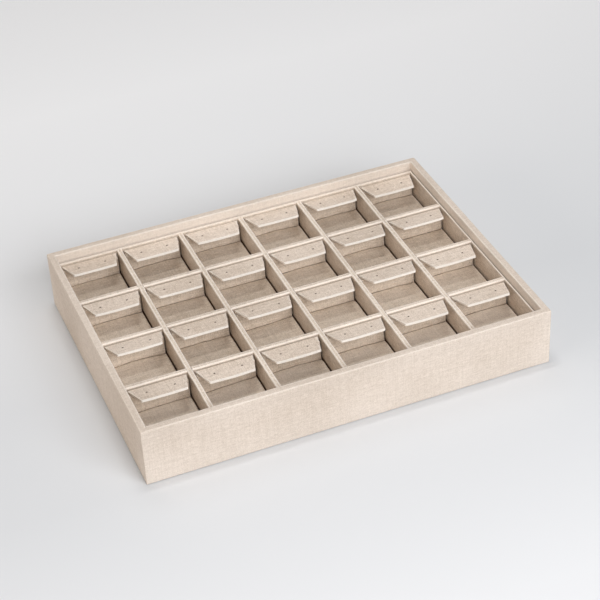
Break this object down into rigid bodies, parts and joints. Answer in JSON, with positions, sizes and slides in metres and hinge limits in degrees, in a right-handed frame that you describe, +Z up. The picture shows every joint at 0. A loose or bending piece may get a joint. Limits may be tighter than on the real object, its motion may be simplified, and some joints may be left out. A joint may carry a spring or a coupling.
{
  "type": "jewelry tray",
  "caption": "Linen-covered display tray for earrings: a shallow box with a grid of cells, each holding a lift-out insert whose hinged flap has holes for earring posts.",
  "frame": {"origin": "the middle of the underside, on the surface that the tray stands on", "axes": "+X along the length, left to right seen from the front; +Y from the front to the back, the side on which each cell's flap is hinged; +Z up"},
  "size_m": [0.35, 0.26, 0.053],
  "materials": {
    "linen": "matte",
    "board": "matte"
  },
  "bodies": {
    "tray": {"underside_lining": "linen", "base_board": "board", "front_wall": "board", "back_wall": "board", "left_wall": "board", "right_wall": "board", "outer_wrap": "linen", "spacer_frame": "board", "raised_floor": "board", "grid_liners": "linen", "column_dividers": "linen", "row_dividers": "linen"},
    "insert_a4": {"insert_a4": "linen"},
    "flap_a4": {"flap_a4": "linen"},
    "insert_b4": {"insert_b4": "linen"},
    "flap_b4": {"flap_b4": "linen"},
    "insert_c4": {"insert_c4": "linen"},
    "flap_c4": {"flap_c4": "linen"},
    "insert_d4": {"insert_d4": "linen"},
    "flap_d4": {"flap_d4": "linen"},
    "insert_e4": {"insert_e4": "linen"},
    "flap_e4": {"flap_e4": "linen"},
    "insert_f4": {"insert_f4": "linen"},
    "flap_f4": {"flap_f4": "linen"},
    "insert_a3": {"insert_a3": "linen"},
    "flap_a3": {"flap_a3": "linen"},
    "insert_b3": {"insert_b3": "linen"},
    "flap_b3": {"flap_b3": "linen"},
    "insert_c3": {"insert_c3": "linen"},
    "flap_c3": {"flap_c3": "linen"},
    "insert_d3": {"insert_d3": "linen"},
    "flap_d3": {"flap_d3": "linen"},
    "insert_e3": {"insert_e3": "linen"},
    "flap_e3": {"flap_e3": "linen"},
    "insert_f3": {"insert_f3": "linen"},
    "flap_f3": {"flap_f3": "linen"},
    "insert_a2": {"insert_a2": "linen"},
    "flap_a2": {"flap_a2": "linen"},
    "insert_b2": {"insert_b2": "linen"},
    "flap_b2": {"flap_b2": "linen"},
    "insert_c2": {"insert_c2": "linen"},
    "flap_c2": {"flap_c2": "linen"},
    "insert_d2": {"insert_d2": "linen"},
    "flap_d2": {"flap_d2": "linen"},
    "insert_e2": {"insert_e2": "linen"},
    "flap_e2": {"flap_e2": "linen"},
    "insert_f2": {"insert_f2": "linen"},
    "flap_f2": {"flap_f2": "linen"},
    "insert_a1": {"insert_a1": "linen"},
    "flap_a1": {"flap_a1": "linen"},
    "insert_b1": {"insert_b1": "linen"},
    "flap_b1": {"flap_b1": "linen"},
    "insert_c1": {"insert_c1": "linen"},
    "flap_c1": {"flap_c1": "linen"},
    "insert_d1": {"insert_d1": "linen"},
    "flap_d1": {"flap_d1": "linen"},
    "insert_e1": {"insert_e1": "linen"},
    "flap_e1": {"flap_e1": "linen"},
    "insert_f1": {"insert_f1": "linen"},
    "flap_f1": {"flap_f1": "linen"}
  },
  "joints": [
    {"name": "insert_a4_lift", "type": "slide", "parent": "tray", "child": "insert_a4", "axis": [0, 0, 1], "range_m": [0, 0.035]},
    {"name": "flap_a4_fold", "type": "hinge", "parent": "insert_a4", "child": "flap_a4", "pos_m": [-0.14105, 0.1195, 0.0415], "axis": [-1, 0, 0], "range_deg": [-9, 81]},
    {"name": "insert_b4_lift", "type": "slide", "parent": "tray", "child": "insert_b4", "axis": [0, 0, 1], "range_m": [0, 0.035]},
    {"name": "flap_b4_fold", "type": "hinge", "parent": "insert_b4", "child": "flap_b4", "pos_m": [-0.08465, 0.1195, 0.0415], "axis": [-1, 0, 0], "range_deg": [-4.4, 85.6]},
    {"name": "insert_c4_lift", "type": "slide", "parent": "tray", "child": "insert_c4", "axis": [0, 0, 1], "range_m": [0, 0.035]},
    {"name": "flap_c4_fold", "type": "hinge", "parent": "insert_c4", "child": "flap_c4", "pos_m": [-0.02825, 0.1195, 0.0415], "axis": [-1, 0, 0], "range_deg": [-5.2, 84.8]},
    {"name": "insert_d4_lift", "type": "slide", "parent": "tray", "child": "insert_d4", "axis": [0, 0, 1], "range_m": [0, 0.035]},
    {"name": "flap_d4_fold", "type": "hinge", "parent": "insert_d4", "child": "flap_d4", "pos_m": [0.02815, 0.1195, 0.0415], "axis": [-1, 0, 0], "range_deg": [-8.7, 81.3]},
    {"name": "insert_e4_lift", "type": "slide", "parent": "tray", "child": "insert_e4", "axis": [0, 0, 1], "range_m": [0, 0.035]},
    {"name": "flap_e4_fold", "type": "hinge", "parent": "insert_e4", "child": "flap_e4", "pos_m": [0.08455, 0.1195, 0.0415], "axis": [-1, 0, 0], "range_deg": [-10.1, 79.9]},
    {"name": "insert_f4_lift", "type": "slide", "parent": "tray", "child": "insert_f4", "axis": [0, 0, 1], "range_m": [0, 0.035]},
    {"name": "flap_f4_fold", "type": "hinge", "parent": "insert_f4", "child": "flap_f4", "pos_m": [0.14095, 0.1195, 0.0415], "axis": [-1, 0, 0], "range_deg": [-3.8, 86.2]},
    {"name": "insert_a3_lift", "type": "slide", "parent": "tray", "child": "insert_a3", "axis": [0, 0, 1], "range_m": [0, 0.035]},
    {"name": "flap_a3_fold", "type": "hinge", "parent": "insert_a3", "child": "flap_a3", "pos_m": [-0.14105, 0.05765, 0.0415], "axis": [-1, 0, 0], "range_deg": [-7.4, 82.6]},
    {"name": "insert_b3_lift", "type": "slide", "parent": "tray", "child": "insert_b3", "axis": [0, 0, 1], "range_m": [0, 0.035]},
    {"name": "flap_b3_fold", "type": "hinge", "parent": "insert_b3", "child": "flap_b3", "pos_m": [-0.08465, 0.05765, 0.0415], "axis": [-1, 0, 0], "range_deg": [-8.7, 81.3]},
    {"name": "insert_c3_lift", "type": "slide", "parent": "tray", "child": "insert_c3", "axis": [0, 0, 1], "range_m": [0, 0.035]},
    {"name": "flap_c3_fold", "type": "hinge", "parent": "insert_c3", "child": "flap_c3", "pos_m": [-0.02825, 0.05765, 0.0415], "axis": [-1, 0, 0], "range_deg": [-8.5, 81.5]},
    {"name": "insert_d3_lift", "type": "slide", "parent": "tray", "child": "insert_d3", "axis": [0, 0, 1], "range_m": [0, 0.035]},
    {"name": "flap_d3_fold", "type": "hinge", "parent": "insert_d3", "child": "flap_d3", "pos_m": [0.02815, 0.05765, 0.0415], "axis": [-1, 0, 0], "range_deg": [-7.9, 82.1]},
    {"name": "insert_e3_lift", "type": "slide", "parent": "tray", "child": "insert_e3", "axis": [0, 0, 1], "range_m": [0, 0.035]},
    {"name": "flap_e3_fold", "type": "hinge", "parent": "insert_e3", "child": "flap_e3", "pos_m": [0.08455, 0.05765, 0.0415], "axis": [-1, 0, 0], "range_deg": [-11.5, 78.5]},
    {"name": "insert_f3_lift", "type": "slide", "parent": "tray", "child": "insert_f3", "axis": [0, 0, 1], "range_m": [0, 0.035]},
    {"name": "flap_f3_fold", "type": "hinge", "parent": "insert_f3", "child": "flap_f3", "pos_m": [0.14095, 0.05765, 0.0415], "axis": [-1, 0, 0], "range_deg": [-12.1, 77.9]},
    {"name": "insert_a2_lift", "type": "slide", "parent": "tray", "child": "insert_a2", "axis": [0, 0, 1], "range_m": [0, 0.035]},
    {"name": "flap_a2_fold", "type": "hinge", "parent": "insert_a2", "child": "flap_a2", "pos_m": [-0.14105, -0.0042, 0.0415], "axis": [-1, 0, 0], "range_deg": [-13.2, 76.8]},
    {"name": "insert_b2_lift", "type": "slide", "parent": "tray", "child": "insert_b2", "axis": [0, 0, 1], "range_m": [0, 0.035]},
    {"name": "flap_b2_fold", "type": "hinge", "parent": "insert_b2", "child": "flap_b2", "pos_m": [-0.08465, -0.0042, 0.0415], "axis": [-1, 0, 0], "range_deg": [-8.7, 81.3]},
    {"name": "insert_c2_lift", "type": "slide", "parent": "tray", "child": "insert_c2", "axis": [0, 0, 1], "range_m": [0, 0.035]},
    {"name": "flap_c2_fold", "type": "hinge", "parent": "insert_c2", "child": "flap_c2", "pos_m": [-0.02825, -0.0042, 0.0415], "axis": [-1, 0, 0], "range_deg": [-12.6, 77.4]},
    {"name": "insert_d2_lift", "type": "slide", "parent": "tray", "child": "insert_d2", "axis": [0, 0, 1], "range_m": [0, 0.035]},
    {"name": "flap_d2_fold", "type": "hinge", "parent": "insert_d2", "child": "flap_d2", "pos_m": [0.02815, -0.0042, 0.0415], "axis": [-1, 0, 0], "range_deg": [-10.4, 79.6]},
    {"name": "insert_e2_lift", "type": "slide", "parent": "tray", "child": "insert_e2", "axis": [0, 0, 1], "range_m": [0, 0.035]},
    {"name": "flap_e2_fold", "type": "hinge", "parent": "insert_e2", "child": "flap_e2", "pos_m": [0.08455, -0.0042, 0.0415], "axis": [-1, 0, 0], "range_deg": [-13.5, 76.5]},
    {"name": "insert_f2_lift", "type": "slide", "parent": "tray", "child": "insert_f2", "axis": [0, 0, 1], "range_m": [0, 0.035]},
    {"name": "flap_f2_fold", "type": "hinge", "parent": "insert_f2", "child": "flap_f2", "pos_m": [0.14095, -0.0042, 0.0415], "axis": [-1, 0, 0], "range_deg": [-7.1, 82.9]},
    {"name": "insert_a1_lift", "type": "slide", "parent": "tray", "child": "insert_a1", "axis": [0, 0, 1], "range_m": [0, 0.035]},
    {"name": "flap_a1_fold", "type": "hinge", "parent": "insert_a1", "child": "flap_a1", "pos_m": [-0.14105, -0.06605, 0.0415], "axis": [-1, 0, 0], "range_deg": [-11, 79]},
    {"name": "insert_b1_lift", "type": "slide", "parent": "tray", "child": "insert_b1", "axis": [0, 0, 1], "range_m": [0, 0.035]},
    {"name": "flap_b1_fold", "type": "hinge", "parent": "insert_b1", "child": "flap_b1", "pos_m": [-0.08465, -0.06605, 0.0415], "axis": [-1, 0, 0], "range_deg": [-7.1, 82.9]},
    {"name": "insert_c1_lift", "type": "slide", "parent": "tray", "child": "insert_c1", "axis": [0, 0, 1], "range_m": [0, 0.035]},
    {"name": "flap_c1_fold", "type": "hinge", "parent": "insert_c1", "child": "flap_c1", "pos_m": [-0.02825, -0.06605, 0.0415], "axis": [-1, 0, 0], "range_deg": [-7.4, 82.6]},
    {"name": "insert_d1_lift", "type": "slide", "parent": "tray", "child": "insert_d1", "axis": [0, 0, 1], "range_m": [0, 0.035]},
    {"name": "flap_d1_fold", "type": "hinge", "parent": "insert_d1", "child": "flap_d1", "pos_m": [0.02815, -0.06605, 0.0415], "axis": [-1, 0, 0], "range_deg": [-13.5, 76.5]},
    {"name": "insert_e1_lift", "type": "slide", "parent": "tray", "child": "insert_e1", "axis": [0, 0, 1], "range_m": [0, 0.035]},
    {"name": "flap_e1_fold", "type": "hinge", "parent": "insert_e1", "child": "flap_e1", "pos_m": [0.08455, -0.06605, 0.0415], "axis": [-1, 0, 0], "range_deg": [-8.7, 81.3]},
    {"name": "insert_f1_lift", "type": "slide", "parent": "tray", "child": "insert_f1", "axis": [0, 0, 1], "range_m": [0, 0.035]},
    {"name": "flap_f1_fold", "type": "hinge", "parent": "insert_f1", "child": "flap_f1", "pos_m": [0.14095, -0.06605, 0.0415], "axis": [-1, 0, 0], "range_deg": [-11.2, 78.8]}
  ]
}
